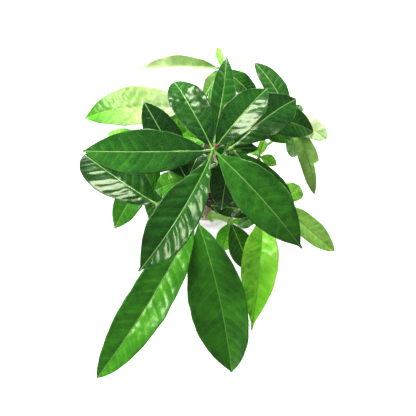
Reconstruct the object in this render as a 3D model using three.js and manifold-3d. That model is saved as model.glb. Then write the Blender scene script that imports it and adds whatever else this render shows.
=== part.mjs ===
// A potted money tree: three stems braided together, standing in soil in a plain glazed pot, with green
// shoots from the cut stem tops and a glossy hand-shaped leaf of several leaflets on each stalk.
// Millimetres, +Z up. The origin is the centre of the pot's foot; the crown leans towards -Y.
import * as THREE from "three";
import { mergeVertices } from "three/addons/utils/BufferGeometryUtils.js";
import Module from "manifold-3d";

const wasm = await Module();
wasm.setup();

// Driving dimensions.
const POT_HEIGHT = 115;
const POT_RIM_RADIUS = 62;
const POT_FOOT_RADIUS = 45;
const POT_WALL = 4.5;
const POT_FLOOR = 7;
const POT_LIP = 13; // height of the band under the rim
const POT_SIDES = 36;
const SOIL_LEVEL = 98; // where the soil meets the pot's wall
const SOIL_CROWN = 4; // how much higher the soil stands round the stems
const GAP = 0.3; // left between pieces that touch

const STEM_BURIED = 40; // how far a stem's hole reaches below the soil
const STEM_TOP = 292;
const STEM_RADIUS = 8;
const STEM_SIDES = 10;
const STEM_RINGS = 24;
const BRAID_HALF_WIDTH = 20;
const BRAID_HALF_DEPTH = 10;
const BRAID_TURNS = 0.9;
const BRAID_TOP_PHASE = -6; // degrees, of the first stem at its cut top
const TRUNK_LEAN = [-3, -24]; // how far the trunk's top stands from the pot's axis

const BLADE_THICKNESS = 0.7;
const LEAF_STALK_RADIUS = 1.9;
const LEAFLET_STALK = 1.4; // half-width where a leaflet leaves the hub
const LEAFLET_STALK_SHARE = 0.04; // of a leaflet's length

const COLOURS = {
  pot: 0xf2f1ec,
  soil: 0x2b211a,
  bark: 0x7d6a4c,
  shoot: 0x6f9440,
  deepLeaf: 0x1f5a24,
  leaf: 0x2c7526,
  brightLeaf: 0x4fa52a,
  paleLeaf: 0x6fae63,
  youngLeaf: 0x8cc63c,
};

// Solids and meshes.

function manifoldOf(geometry) {
  const plain = geometry.clone();
  plain.deleteAttribute("normal");
  plain.deleteAttribute("uv");
  const merged = mergeVertices(plain, 1e-4);
  return new wasm.Manifold(
    new wasm.Mesh({
      numProp: 3,
      vertProperties: new Float32Array(merged.attributes.position.array),
      triVerts: new Uint32Array(merged.index.array),
    }),
  );
}

function geometryOf(solid) {
  const made = solid.getMesh();
  const geometry = new THREE.BufferGeometry();
  geometry.setAttribute("position", new THREE.BufferAttribute(made.vertProperties, 3));
  geometry.setIndex(new THREE.BufferAttribute(made.triVerts, 1));
  geometry.computeVertexNormals();
  return geometry;
}

function largestPiece(solid) {
  return solid.decompose().sort((a, b) => b.volume() - a.volume())[0];
}

function joined(solids) {
  return solids.reduce((whole, next) => whole.add(next));
}

// A closed solid through rings of the same number of points, each counter-clockwise seen from its far end.
// The two ends are closed by fans round their first point.
function loft(rings) {
  const count = rings[0].length;
  const places = rings.flat().flatMap((p) => [p.x, p.y, p.z]);
  const faces = [];
  for (let r = 0; r + 1 < rings.length; r++) {
    for (let i = 0; i < count; i++) {
      const a = r * count + i;
      const b = r * count + ((i + 1) % count);
      faces.push(a, b, b + count, a, b + count, a + count);
    }
  }
  const last = (rings.length - 1) * count;
  for (let i = 1; i + 1 < count; i++) {
    faces.push(0, i + 1, i);
    faces.push(last, last + i, last + i + 1);
  }
  const geometry = new THREE.BufferGeometry();
  geometry.setAttribute("position", new THREE.Float32BufferAttribute(places, 3));
  geometry.setIndex(faces);
  return manifoldOf(geometry);
}

// A round stem along a curve; radiusAt gives its radius from 0, at the start, to 1.
function roundStem(curve, radiusAt, sides, steps) {
  const frames = curve.computeFrenetFrames(steps, false);
  const rings = [];
  for (let k = 0; k <= steps; k++) {
    const centre = curve.getPointAt(k / steps);
    const radius = radiusAt(k / steps);
    const ring = [];
    for (let i = 0; i < sides; i++) {
      const turn = (2 * Math.PI * i) / sides;
      ring.push(
        centre
          .clone()
          .addScaledVector(frames.normals[k], radius * Math.cos(turn))
          .addScaledVector(frames.binormals[k], radius * Math.sin(turn)),
      );
    }
    rings.push(ring);
  }
  return loft(rings);
}

function curveThrough(points) {
  return new THREE.CatmullRomCurve3(points.map((p) => new THREE.Vector3(...p)));
}

function turned(profile) {
  const lathe = new THREE.LatheGeometry(
    profile.map(([r, z]) => new THREE.Vector2(r, z)),
    POT_SIDES,
  );
  lathe.rotateX(Math.PI / 2);
  return lathe;
}

// The pot and its soil.

function potRadiusAt(z) {
  return POT_FOOT_RADIUS + ((POT_RIM_RADIUS - POT_FOOT_RADIUS) * z) / POT_HEIGHT;
}

function makePot() {
  const lipFoot = POT_HEIGHT - POT_LIP;
  const lipStep = 1.6;
  const rimRound = 1.8;
  return manifoldOf(
    turned([
      [0, 0],
      [POT_FOOT_RADIUS - 2.5, 0],
      [POT_FOOT_RADIUS, 2.5],
      [potRadiusAt(lipFoot) - lipStep, lipFoot - 1.5],
      [potRadiusAt(lipFoot), lipFoot],
      [POT_RIM_RADIUS, POT_HEIGHT - rimRound],
      [POT_RIM_RADIUS - rimRound / 2, POT_HEIGHT],
      [POT_RIM_RADIUS - POT_WALL + rimRound / 2, POT_HEIGHT],
      [POT_RIM_RADIUS - POT_WALL, POT_HEIGHT - rimRound],
      [POT_FOOT_RADIUS - POT_WALL, POT_FLOOR + 3],
      [POT_FOOT_RADIUS - POT_WALL - 3, POT_FLOOR],
      [0, POT_FLOOR],
    ]),
  );
}

function soilRadiusAt(z) {
  const rise = (z - POT_FLOOR - 3) / (POT_HEIGHT - POT_FLOOR - 3 - 1.8);
  return POT_FOOT_RADIUS - POT_WALL + (POT_RIM_RADIUS - POT_FOOT_RADIUS) * rise - 2 * GAP;
}

function makeSoil(stemHoles) {
  const edge = soilRadiusAt(SOIL_LEVEL);
  const mound = turned([
    [0, POT_FLOOR],
    [POT_FOOT_RADIUS - POT_WALL - 3.5, POT_FLOOR],
    [soilRadiusAt(POT_FLOOR + 3), POT_FLOOR + 3 + GAP],
    [edge, SOIL_LEVEL],
    [edge * 0.75, SOIL_LEVEL + SOIL_CROWN * 0.5],
    [edge * 0.4, SOIL_LEVEL + SOIL_CROWN],
    [0, SOIL_LEVEL + SOIL_CROWN],
  ]);
  return manifoldOf(mound).subtract(stemHoles);
}

// The braided trunk. A stem swings from side to side once a turn and in and out twice, a third of a turn
// after the one before it, so that the three pass over and under each other.

function stemCentre(stem, share) {
  const z = SOIL_LEVEL + (STEM_TOP - SOIL_LEVEL) * share;
  const along = Math.max(share, 0);
  const eased = along - Math.sin(2 * Math.PI * along) / (4 * Math.PI);
  const phase =
    THREE.MathUtils.degToRad(BRAID_TOP_PHASE + 120 * stem) + 2 * Math.PI * BRAID_TURNS * (eased - 1);
  return [
    BRAID_HALF_WIDTH * Math.sin(phase) + TRUNK_LEAN[0] * along,
    BRAID_HALF_DEPTH * Math.sin(2 * phase) + TRUNK_LEAN[1] * along,
    z,
  ];
}

function stemSolid(stem, grow) {
  const buriedShare = -(STEM_BURIED + grow) / (STEM_TOP - SOIL_LEVEL);
  const points = [];
  for (let k = 0; k <= STEM_RINGS; k++) {
    points.push(stemCentre(stem, buriedShare + ((1 - buriedShare) * k) / STEM_RINGS));
  }
  const radiusAt = (t) => (STEM_RADIUS + grow) * (1 - 0.1 * t);
  return roundStem(curveThrough(points), radiusAt, STEM_SIDES, STEM_RINGS);
}

// A pruned side branch low on the front of the trunk, fused to the first stem.
const STUB_PATH = [
  [10, -19, 176],
  [-14, -54, 187],
  [5, -78, 204],
];
const STUB_RADIUS = 7.5;

function stubSolid(grow) {
  return roundStem(curveThrough(STUB_PATH), (t) => (STUB_RADIUS + grow) * (0.85 + 0.15 * t), 10, 6);
}

// Green shoots, one from the side of each stem just under its cut top.
const SHOOTS = {
  middle: { path: [[-3, -27, 272], [5, -34, 286], [4, -38, 312], [3, -42, 345]], radius: 4.6 },
  right: { path: [[14, -31, 272], [25, -27, 286], [28, -26, 308], [32, -25, 338]], radius: 4.6 },
  left: { path: [[-18, -15, 272], [-28, -8, 286], [-30, -3, 304], [-31, 2, 326]], radius: 4.4 },
};

function shootSolid({ path, radius }, grow) {
  return roundStem(curveThrough(path), (t) => (radius + grow) * (1 - 0.3 * t * t), 8, 9);
}

// Leaves.

// Half-width of a leaflet from its foot, 0, to its tip, 1, as a share of its widest, which is at `peak`;
// `point` above 1 draws the tip out.
function outline(s, peak, point) {
  const t = Math.min(Math.max((s - LEAFLET_STALK_SHARE) / (1 - LEAFLET_STALK_SHARE), 0), 1);
  const foot = (point * peak) / (1 - peak);
  const shape = (x) => Math.pow(x, foot) * Math.pow(1 - x, point);
  return shape(t) / shape(peak);
}

// Where along a leaflet its cross-sections stand.
const LONG_BLADE = [0, 0.05, 0.14, 0.26, 0.4, 0.54, 0.68, 0.81, 0.92, 1];
const SHORT_BLADE = [0, 0.06, 0.2, 0.4, 0.6, 0.8, 0.93, 1];

// One leaflet. It leaves the hub towards `toward` degrees (counter-clockwise from +X), at `rise` degrees
// above level, and comes to `fall` at its tip. `roll` tips it over to its right and `bend` turns its tip
// sideways, in degrees; `fold` is how far its two halves stand up from flat.
function leafletSolid(hub, leaflet) {
  const { toward, length, width, rise, fall } = leaflet;
  const { roll = 0, bend = 0, fold = 12, peak = 0.5, point = 1 } = leaflet;
  const steps = 100;
  const stations = length > 90 ? LONG_BLADE : SHORT_BLADE;
  const place = new THREE.Vector3(...hub);
  const rad = THREE.MathUtils.degToRad;
  const rings = [];
  let next = 0;
  for (let k = 0; k <= steps; k++) {
    const s = k / steps;
    const pitch = rad(rise + (fall - rise) * s);
    const heading = rad(toward + bend * s);
    const ahead = new THREE.Vector3(
      Math.cos(pitch) * Math.cos(heading),
      Math.cos(pitch) * Math.sin(heading),
      Math.sin(pitch),
    );
    if (s >= stations[next] - 1e-6) {
      const side = new THREE.Vector3(-Math.sin(heading), Math.cos(heading), 0);
      const up = ahead.clone().cross(side);
      side.applyAxisAngle(ahead, rad(roll));
      up.applyAxisAngle(ahead, rad(roll));
      const half = Math.max((width / 2) * outline(s, peak, point), s > 0.5 ? 0.5 : LEAFLET_STALK);
      const thick = BLADE_THICKNESS / 2 + 0.8 * Math.exp(-s / 0.05);
      const out = half * Math.cos(rad(fold));
      const lift = half * Math.sin(rad(fold));
      const at = (across, above) =>
        place.clone().addScaledVector(side, across).addScaledVector(up, above);
      rings.push([
        at(-out, lift - thick),
        at(0, -thick),
        at(out, lift - thick),
        at(out, lift + thick),
        at(0, thick),
        at(-out, lift + thick),
      ]);
      next += 1;
    }
    place.addScaledVector(ahead, length / steps);
  }
  return bladeLoft(rings);
}

// As loft, for rings of three points under and three over, with the diagonals alike on both faces.
function bladeLoft(rings) {
  const places = rings.flat().flatMap((p) => [p.x, p.y, p.z]);
  const faces = [];
  const quad = (a, b, c, d) => faces.push(a, b, c, a, c, d);
  for (let r = 0; r + 1 < rings.length; r++) {
    const a = r * 6;
    const b = a + 6;
    quad(a + 1, b + 1, b, a);
    quad(a + 1, a + 2, b + 2, b + 1);
    quad(a + 2, a + 3, b + 3, b + 2);
    faces.push(a + 4, b + 4, b + 3, a + 4, b + 3, a + 3);
    faces.push(a + 4, a + 5, b + 5, a + 4, b + 5, b + 4);
    quad(a + 5, a, b, b + 5);
  }
  const end = (rings.length - 1) * 6;
  faces.push(0, 4, 1, 0, 5, 4, 1, 4, 3, 1, 3, 2);
  faces.push(end, end + 1, end + 4, end, end + 4, end + 5);
  faces.push(end + 1, end + 3, end + 4, end + 1, end + 2, end + 3);
  const geometry = new THREE.BufferGeometry();
  geometry.setAttribute("position", new THREE.Float32BufferAttribute(places, 3));
  geometry.setIndex(faces);
  return manifoldOf(geometry);
}

// A leaf: its stalk from a point on a stem, bowed through a middle point, to the hub, and its leaflets.
function leafSolid({ from, bow, hub, leaflets, stalk = LEAF_STALK_RADIUS, knob = 3.6 }) {
  const curve = new THREE.QuadraticBezierCurve3(
    new THREE.Vector3(...from),
    new THREE.Vector3(...bow),
    new THREE.Vector3(...hub),
  );
  const stalkSolid = roundStem(curve, (t) => stalk * (1.25 - 0.35 * t), 6, 7);
  const swelling = new THREE.OctahedronGeometry(knob, 1);
  swelling.translate(...hub);
  const blades = leaflets.map(([toward, length, width, rise, fall, more = {}]) =>
    leafletSolid(hub, { toward, length, width, rise, fall, ...more }),
  );
  return joined([stalkSolid, manifoldOf(swelling), ...blades]);
}

// Every leaf: where its stalk starts and bows, its hub, its colour and its leaflets, each as direction,
// length, width, rise and fall, with roll, bend and fold where they differ.
const LEAVES = {
  leaf_top: {
    from: [3, -42, 338], bow: [6, -52, 380], hub: [7, -64, 430], colour: "deepLeaf",
    leaflets: [
      [-174.8, 141, 50, 8, -14, { bend: -12, roll: -7, fold: 6 }],
      [116.4, 101, 42, 14, -34, { peak: 0.54, point: 0.75, roll: 6 }],
      [52, 99, 42, 14, -28, { peak: 0.52, point: 0.9, roll: -6 }],
      [-43.7, 143, 53, 2, -34, { bend: -4, peak: 0.5, point: 1.05, roll: 4 }],
      [-111, 155, 53, 4, -36, { bend: -25, peak: 0.55, point: 1.05, fold: 16, roll: 8 }],
    ],
  },
  leaf_under_top: {
    from: [30, -27, 327], bow: [32, -38, 365], hub: [27, -50, 395], colour: "deepLeaf",
    leaflets: [
      [46, 115, 50, 2, -36, { bend: -6, roll: 6 }],
      [-42, 126, 41, -8, -42, { bend: -14 }],
      [9, 34, 14, -10, -30],
      [-100, 78, 36, -25, -60],
    ],
  },
  leaf_back_upper: {
    from: [4, -38, 322], bow: [12, -32, 350], hub: [9, -39, 386], colour: "leaf",
    leaflets: [
      [79, 132, 31, 6, -38, { bend: 8, fold: 6, roll: 22, peak: 0.4, point: 1.15 }],
      [162, 46, 18, -5, -35],
      [28, 48, 22, -10, -45],
    ],
  },
  leaf_right_upper: {
    from: [30, -25, 321], bow: [34, -8, 335], hub: [45, -2, 355], colour: "leaf",
    leaflets: [
      [11, 96, 42, 2, -44, { bend: -24, point: 0.9 }],
      [-11, 72, 26, -14, -50],
      [95, 50, 24, -10, -60],
    ],
  },
  leaf_far_right: {
    from: [29, -26, 312], bow: [72, -34, 322], hub: [103, 12, 320], colour: "paleLeaf",
    leaflets: [
      [108, 90, 28, 14, -10, { bend: 22, point: 0.8 }],
      [-13.8, 49.5, 30, 6, -14, { bend: -25, peak: 0.4, point: 0.5 }],
      [-59, 97, 25, 4, -36, { bend: -24, point: 0.7 }],
      [-75, 58, 22, -30, -80],
      [60, 34, 14, 0, -40],
    ],
  },
  leaf_far_back: {
    from: [-30, -3, 305], bow: [0, 50, 318], hub: [19, 84, 320], colour: "paleLeaf",
    leaflets: [
      [174, 114, 28, 2, -34, { fold: 32, roll: 10 }],
      [98, 36, 10, 0, -30],
      [-37, 64, 27, 0, -50],
      [-124, 44, 20, 0, -50],
    ],
  },
  leaf_far_left: {
    from: [-31, 1, 319], bow: [-32, 6, 338], hub: [-26, 16, 350], colour: "brightLeaf",
    leaflets: [
      [172, 136, 52, 4, -40, { bend: 12, peak: 0.42, point: 0.9 }],
      [-150, 60, 33, -30, -70],
      [-86, 40, 24, -10, -50],
      [62, 40, 22, -10, -50],
    ],
  },
  leaf_left_upper: {
    from: [4, -37, 308], bow: [-12, -58, 338], hub: [-22, -80, 372], colour: "deepLeaf",
    leaflets: [
      [120, 102, 40, 30, 0, { peak: 0.5, point: 0.8, fold: 8 }],
      [73, 64, 28, -20, -55],
      [-174, 46, 30, -15, -50],
      [-85, 44, 20, -30, -70],
    ],
  },
  leaf_left_low: {
    from: [-29, -5, 295], bow: [-42, -24, 312], hub: [-60, -36, 315], colour: "brightLeaf",
    leaflets: [
      [-127, 108, 38, -6, -50],
      [145, 88, 32, 0, -40],
      [-100, 90, 24, -25, -65],
    ],
  },
  leaf_left_front: {
    from: [5, -36, 298], bow: [-34, -74, 340], hub: [-55, -107, 365], colour: "leaf",
    leaflets: [
      [148.1, 128, 57, 4, -40, { bend: -14, peak: 0.5, point: 0.75, roll: 8 }],
      [-84, 62, 26, -30, -60],
      [-122, 26, 15, -30, -60],
    ],
  },
  leaf_front_long: {
    from: [3, -41, 332], bow: [-4, -80, 352], hub: [-12, -116, 345], colour: "leaf",
    leaflets: [
      [-70.8, 192, 73, 0, -40, { bend: -12, peak: 0.52, point: 0.9, fold: 22, roll: 18 }],
      [-115, 223, 52, 2, -30, { bend: -16, point: 0.75 }],
      [170, 60, 24, -30, -70],
    ],
  },
  leaf_right_front: {
    from: [28, -26, 303], bow: [48, -66, 325], hub: [68, -103, 310], colour: "brightLeaf",
    leaflets: [
      [-94.4, 139, 48, 14, -20, { peak: 0.44, point: 1.25, bend: -4, fold: 26 }],
      [165, 70, 28, 0, -40],
      [-165, 44, 18, -30, -60],
      [-30, 45, 22, -30, -60],
    ],
  },
  leaf_right_low: {
    from: [26, -27, 294], bow: [60, -62, 308], hub: [93, -84, 290], colour: "paleLeaf",
    leaflets: [
      [-47.5, 90, 30, 4, -28, { bend: 14, point: 0.8 }],
      [47, 39, 28, 0, -40],
      [140, 50, 24, -20, -60],
    ],
  },
  leaf_inner_front: {
    from: [4.5, -41.5, 316], bow: [13, -44, 336], hub: [14, -54, 350], colour: "leaf",
    leaflets: [
      [-108, 30, 22, -5, -45],
      [-49, 56, 30, -5, -45],
      [12, 44, 26, 0, -40],
      [70, 30, 18, 0, -30],
    ],
  },
  leaf_inner_back: {
    from: [-29.5, -1, 314], bow: [-8, 12, 330], hub: [11, 7, 338], colour: "brightLeaf",
    leaflets: [
      [82, 62, 30, 0, -40],
      [30, 48, 26, 0, -40],
      [133, 39, 22, 0, -40],
      [-30, 37, 20, -10, -50],
      [-64, 35, 22, 10, -25],
      [-117, 37, 18, 10, -22],
      [-95, 38, 32, 10, -22],
    ],
  },
  young_leaf_right: {
    from: [32, -25, 335], bow: [53, -30, 350], hub: [60, -51, 372], colour: "youngLeaf",
    stalk: 1.2, knob: 2.4,
    leaflets: [
      [137, 18, 9, 0, -30],
      [-18, 25, 14, 0, -50],
      [72, 24, 11, 10, -30],
      [-100, 16, 9, 0, -40],
    ],
  },
  young_shoot_front: {
    from: [2, -77, 203], bow: [18, -82, 215], hub: [31, -91, 225], colour: "youngLeaf",
    stalk: 4.6, knob: 5.2,
    leaflets: [
      [-66, 76, 36, -5, -45],
      [-104, 44, 28, -20, -50],
      [-1, 28, 13, -10, -40],
    ],
  },
};

// The whole plant.

function mesh(name, solid, colour, roughness) {
  const material = new THREE.MeshStandardMaterial({ color: colour, roughness, metalness: 0 });
  const made = new THREE.Mesh(geometryOf(solid), material);
  made.name = name;
  return made;
}

const tree = new THREE.Group();
const stems = [0, 1, 2].map((k) => stemSolid(k, 0));
stems[0] = stems[0].add(stubSolid(0));
const stemsClear = joined([0, 1, 2].map((k) => stemSolid(k, GAP)).concat(stubSolid(GAP)));
const shootsClear = joined(Object.values(SHOOTS).map((s) => shootSolid(s, GAP)));

tree.add(mesh("pot", makePot(), COLOURS.pot, 0.2));
tree.add(mesh("soil", makeSoil(stemsClear), COLOURS.soil, 0.95));
stems.forEach((solid, k) => tree.add(mesh(`stem_${k + 1}`, solid, COLOURS.bark, 0.8)));
for (const [name, shoot] of Object.entries(SHOOTS)) {
  const solid = largestPiece(shootSolid(shoot, 0).subtract(stemsClear));
  tree.add(mesh(`shoot_${name}`, solid, COLOURS.shoot, 0.6));
}
for (const [name, leaf] of Object.entries(LEAVES)) {
  const solid = largestPiece(leafSolid(leaf).subtract(shootsClear).subtract(stemsClear));
  tree.add(mesh(name, solid, COLOURS[leaf.colour], 0.4));
}

export default tree;
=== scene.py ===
import math
import random
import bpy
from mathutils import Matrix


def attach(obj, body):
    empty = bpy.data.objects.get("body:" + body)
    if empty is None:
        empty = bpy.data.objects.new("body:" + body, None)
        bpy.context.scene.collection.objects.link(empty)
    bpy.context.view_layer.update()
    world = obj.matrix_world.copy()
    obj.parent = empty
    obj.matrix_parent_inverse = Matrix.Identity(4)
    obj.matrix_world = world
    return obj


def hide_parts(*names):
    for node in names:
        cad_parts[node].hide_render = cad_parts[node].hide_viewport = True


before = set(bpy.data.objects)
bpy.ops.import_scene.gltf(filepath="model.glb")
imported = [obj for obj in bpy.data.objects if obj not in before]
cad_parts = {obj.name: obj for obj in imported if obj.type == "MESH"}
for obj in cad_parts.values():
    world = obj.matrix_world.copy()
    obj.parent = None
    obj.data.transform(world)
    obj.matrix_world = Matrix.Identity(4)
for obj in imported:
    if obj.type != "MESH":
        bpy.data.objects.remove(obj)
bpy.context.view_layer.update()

from types import SimpleNamespace

import bmesh
import bpy
import numpy as np
from mathutils import Vector, noise

# Lengths are in millimetres until a mesh is made, and in metres in the studio. Named angles are in degrees.
MM = 0.001
dice = random.Random(11)


# Shaders.

class Graph:
    """A material's node tree, with short calls for the nodes it uses."""

    def __init__(self, name):
        self.material = bpy.data.materials.new(name)
        self.material.use_nodes = True
        self.nodes = self.material.node_tree.nodes
        self.links = self.material.node_tree.links
        self.surface = self.nodes["Principled BSDF"]

    def put(self, socket, value):
        """Links another socket to this one, or sets a number or colour on it."""
        if isinstance(value, bpy.types.NodeSocket):
            self.links.new(value, socket)
        elif isinstance(value, (tuple, list)) and len(value) == 3 and socket.type == "RGBA":
            socket.default_value = (*value, 1.0)
        else:
            socket.default_value = value

    def node(self, kind, inputs=(), **settings):
        made = self.nodes.new("ShaderNode" + kind)
        for key, value in settings.items():
            setattr(made, key, value)
        for key, value in dict(inputs).items():
            self.put(made.inputs[key], value)
        return made

    def vector(self, name):
        """A vector that the mesh holds at its vertices."""
        return self.node("Attribute", attribute_name=name).outputs["Vector"]

    def spot(self):
        """The place on the object, in millimetres."""
        metres = self.node("TexCoord").outputs["Object"]
        return self.node("VectorMath", {0: metres, 3: 1 / MM}, operation="SCALE").outputs[0]

    def split(self, vector):
        return list(self.node("SeparateXYZ", {0: vector}).outputs)

    def join(self, x, y, z):
        return self.node("CombineXYZ", {0: x, 1: y, 2: z}).outputs[0]

    def math(self, operation, *values, clamp=False):
        inputs = dict(enumerate(values))
        return self.node("Math", inputs, operation=operation, use_clamp=clamp).outputs[0]

    def step(self, value, low, high, start=0.0, end=1.0):
        """Smooth change from start, where value is low, to end, where it is high."""
        inputs = {0: value, 1: low, 2: high, 3: start, 4: end}
        return self.node("MapRange", inputs, interpolation_type="SMOOTHSTEP").outputs[0]

    def mix(self, share, first, second):
        made = self.nodes.new("ShaderNodeMix")
        made.data_type = "RGBA"
        self.put(made.inputs[0], share)
        self.put(made.inputs[6], first)
        self.put(made.inputs[7], second)
        return made.outputs[2]

    def tint(self, colour, share, strength, other):
        """The colour moved towards another one by share times strength."""
        return self.mix(self.math("MULTIPLY", share, strength), colour, other)

    def noise(self, vector, scale, detail=2.0, rough=0.5):
        inputs = {"Vector": vector, "Scale": scale, "Detail": detail, "Roughness": rough}
        return self.node("TexNoise", inputs).outputs[0]

    def cells(self, vector, scale, feature="F1"):
        inputs = {"Vector": vector, "Scale": scale}
        return self.node("TexVoronoi", inputs, feature=feature).outputs[0]

    def bump(self, height, strength, millimetres=1.0):
        inputs = {"Strength": strength, "Distance": millimetres * MM, "Height": height}
        return self.node("Bump", inputs).outputs[0]

    def finish(self, colour, roughness, normal=None, **others):
        self.put(self.surface.inputs["Base Color"], colour)
        self.put(self.surface.inputs["Roughness"], roughness)
        if normal is not None:
            self.put(self.surface.inputs["Normal"], normal)
        for key, value in others.items():
            self.put(self.surface.inputs[key.replace("_", " ")], value)
        return self.material


TONES = {  # leaf colours from the deepest shade of green to the youngest
    0.0: (0.004, 0.037, 0.005),
    0.3: (0.017, 0.120, 0.010),
    0.6: (0.052, 0.295, 0.013),
    0.85: (0.135, 0.565, 0.018),
    1.0: (0.400, 0.880, 0.080),
}
# The palest leaf colours: real bleaching, and painted glare where light shines through a leaflet.
HALF_BLEACH_AND_GLARE, FULL_BLEACH_AND_GLARE = (0.74, 0.85, 0.36), (0.88, 0.94, 0.72)
DRY_SCALE = (0.24, 0.10, 0.05)


def tone_ramp(g, shade):
    """The leaf colour for a shade from 0, deepest, to 1, youngest."""
    ramp = g.node("ValToRGB", {0: shade})
    stops = ramp.color_ramp.elements
    for position in list(TONES)[1:-1]:
        stops.new(position)
    for stop, colour in zip(stops, TONES.values()):
        stop.color = (*colour, 1.0)
    return ramp.outputs[0]


def leaf_material(name, vein, under, stalk, gloss, veined):
    """Waxy leaf. place holds the distance along and across the leaflet and its half-width there; look holds
    tone, paleness (real bleaching, and painted glare on some leaflets) and which face; course holds the count
    of side veins, their spacing, and 1 on stalks or 2 on dry scales."""
    g = Graph(name)
    place = g.vector("place")
    along, across, half = g.split(place)
    tone, bleach, below = g.split(g.vector("look"))
    count, spacing, kind = g.split(g.vector("course"))
    reach = g.math("ABSOLUTE", across)

    # Side veins, the fine net between them, the rib and the margin.
    waver = g.math("MULTIPLY", g.math("SUBTRACT", g.noise(place, 0.35), 0.5), 0.12)
    wavering = g.math("ADD", count, waver)
    from_vein = g.math("MULTIPLY", g.math("PINGPONG", wavering, 0.5), spacing)
    outward = g.math("DIVIDE", reach, g.math("MAXIMUM", half, 0.5))
    fade = g.step(outward, 0.45, 0.95, 1.0, 0.15)
    vein_share = g.math("MULTIPLY", g.step(from_vein, 0.08, 0.42, 1.0, 0.0), fade)
    net = g.step(g.cells(place, 0.42, "DISTANCE_TO_EDGE"), 0.0, 0.12, 1.0, 0.0)
    rib_share = g.step(reach, 0.25, 0.65, 1.0, 0.0)
    margin_share = g.step(g.math("SUBTRACT", half, reach), 0.15, 0.6, 1.0, 0.0)

    # The blade: uneven green, with painted shade from the relief: a little lighter to one side of each side
    # vein and close to it.
    cloud = g.noise(place, 0.035, 3.0, 0.6)
    mottle = g.noise(place, 0.4, 3.0, 0.6)
    blotch = g.noise(place, 0.12, 3.0, 0.6)
    # painted shade: lighter to one side of each side vein, darker to the other
    panel = g.math("MULTIPLY", g.math("FRACT", wavering), fade)
    shade = tone
    for part, weight in ((cloud, 0.5), (mottle, 0.2), (blotch, 0.3), (panel, 0.11)):
        shade = g.math("MULTIPLY_ADD", g.math("SUBTRACT", part, 0.5), weight, shade)
    # painted light: a little lighter close to each side vein
    painted_vein_light = g.step(from_vein, 0.0, 3.0, 1.0, 0.0)
    shade = g.math("MULTIPLY_ADD", painted_vein_light, 0.05, shade, clamp=True)
    colour = tone_ramp(g, shade)
    colour = g.tint(colour, net, 0.06, vein)
    colour = g.tint(colour, vein_share, veined, vein)
    patchy = g.step(cloud, 0.3, 0.65, 0.55, 1.0)
    # paleness: real bleaching, and on some leaflets painted glare where light shines through them
    pale = g.mix(g.step(bleach, 0.5, 1.0), HALF_BLEACH_AND_GLARE, FULL_BLEACH_AND_GLARE)
    colour = g.mix(g.math("MULTIPLY", bleach, patchy, clamp=True), colour, pale)
    colour = g.tint(colour, below, 0.5, under)
    colour = g.tint(colour, margin_share, 0.35, vein)
    colour = g.tint(colour, rib_share, 0.75, vein)

    # Stalks are streaked along their length.
    streak = g.noise(g.join(g.math("MULTIPLY", along, 0.05), across, half), 1.5, 3.0, 0.6)
    stalk_colour = g.mix(streak, stalk, tuple(0.62 * c for c in stalk))
    stalk_colour = g.mix(g.step(kind, 1.3, 1.7), stalk_colour, DRY_SCALE)
    on_blade = g.step(kind, 0.2, 0.6, 1.0, 0.0)
    colour = g.mix(on_blade, stalk_colour, colour)

    relief = g.math("MULTIPLY", vein_share, -0.05)
    relief = g.math("MULTIPLY_ADD", net, -0.012, relief)
    relief = g.math("MULTIPLY_ADD", g.noise(place, 0.5), 0.03, relief)
    relief = g.math("MULTIPLY", relief, g.math("MULTIPLY_ADD", below, -2.0, 1.0))
    rough = g.math("MULTIPLY_ADD", g.noise(place, 0.08, 3.0, 0.6), 0.14, gloss - 0.07)
    rough = g.math("MULTIPLY_ADD", below, 0.2, rough)
    youngest = g.step(tone, 0.9, 1.0, 0.0, 0.7)  # such leaflets let light through
    return g.finish(
        colour, rough, g.bump(relief, 0.7),
        Specular_IOR_Level=0.38, Specular_Tint=(0.86, 1.0, 0.62),
        Subsurface_Weight=youngest, Subsurface_Scale=0.001, Subsurface_Radius=(0.9, 1.0, 0.8),
    )


def bark_material():
    """Furrowed bark. cut holds 1 on sawn wood, and the distance from the pith as a share of the radius."""
    furrow, ridge = (0.10, 0.065, 0.038), (0.36, 0.27, 0.17)
    algae, fleck = (0.30, 0.31, 0.17), (0.47, 0.38, 0.27)
    early_wood, late_wood, bark_edge = (0.56, 0.36, 0.26), (0.72, 0.54, 0.41), (0.24, 0.15, 0.09)
    g = Graph("bark")
    spot = g.spot()
    x, y, z = g.split(spot)
    grain = g.noise(g.join(x, y, g.math("MULTIPLY", z, 0.16)), 0.35, 6.0, 0.65)
    patch = g.noise(spot, 0.06, 3.0, 0.6)
    from_fleck = g.cells(spot, 0.45)
    is_cut, from_pith, _ = g.split(g.vector("cut"))
    colour = g.mix(g.step(grain, 0.3, 0.7), furrow, ridge)
    colour = g.mix(g.step(patch, 0.45, 0.7, 0.0, 0.5), colour, algae)
    colour = g.mix(g.step(from_fleck, 0.0, 0.28, 0.6, 0.0), colour, fleck)
    years = g.math("MULTIPLY_ADD", g.noise(spot, 0.5), 5.0, g.math("MULTIPLY", from_pith, 19.0))
    wood = g.mix(g.step(g.math("SINE", years), -1.0, 1.0), early_wood, late_wood)
    wood = g.mix(g.step(from_pith, 0.86, 0.95), wood, bark_edge)
    colour = g.mix(is_cut, colour, wood)
    relief = g.math("MULTIPLY_ADD", grain, 0.7, g.math("MULTIPLY", from_fleck, 0.25))
    return g.finish(colour, g.step(grain, 0.2, 0.8, 0.72, 0.9), g.bump(relief, 0.8, 0.8))


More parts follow.
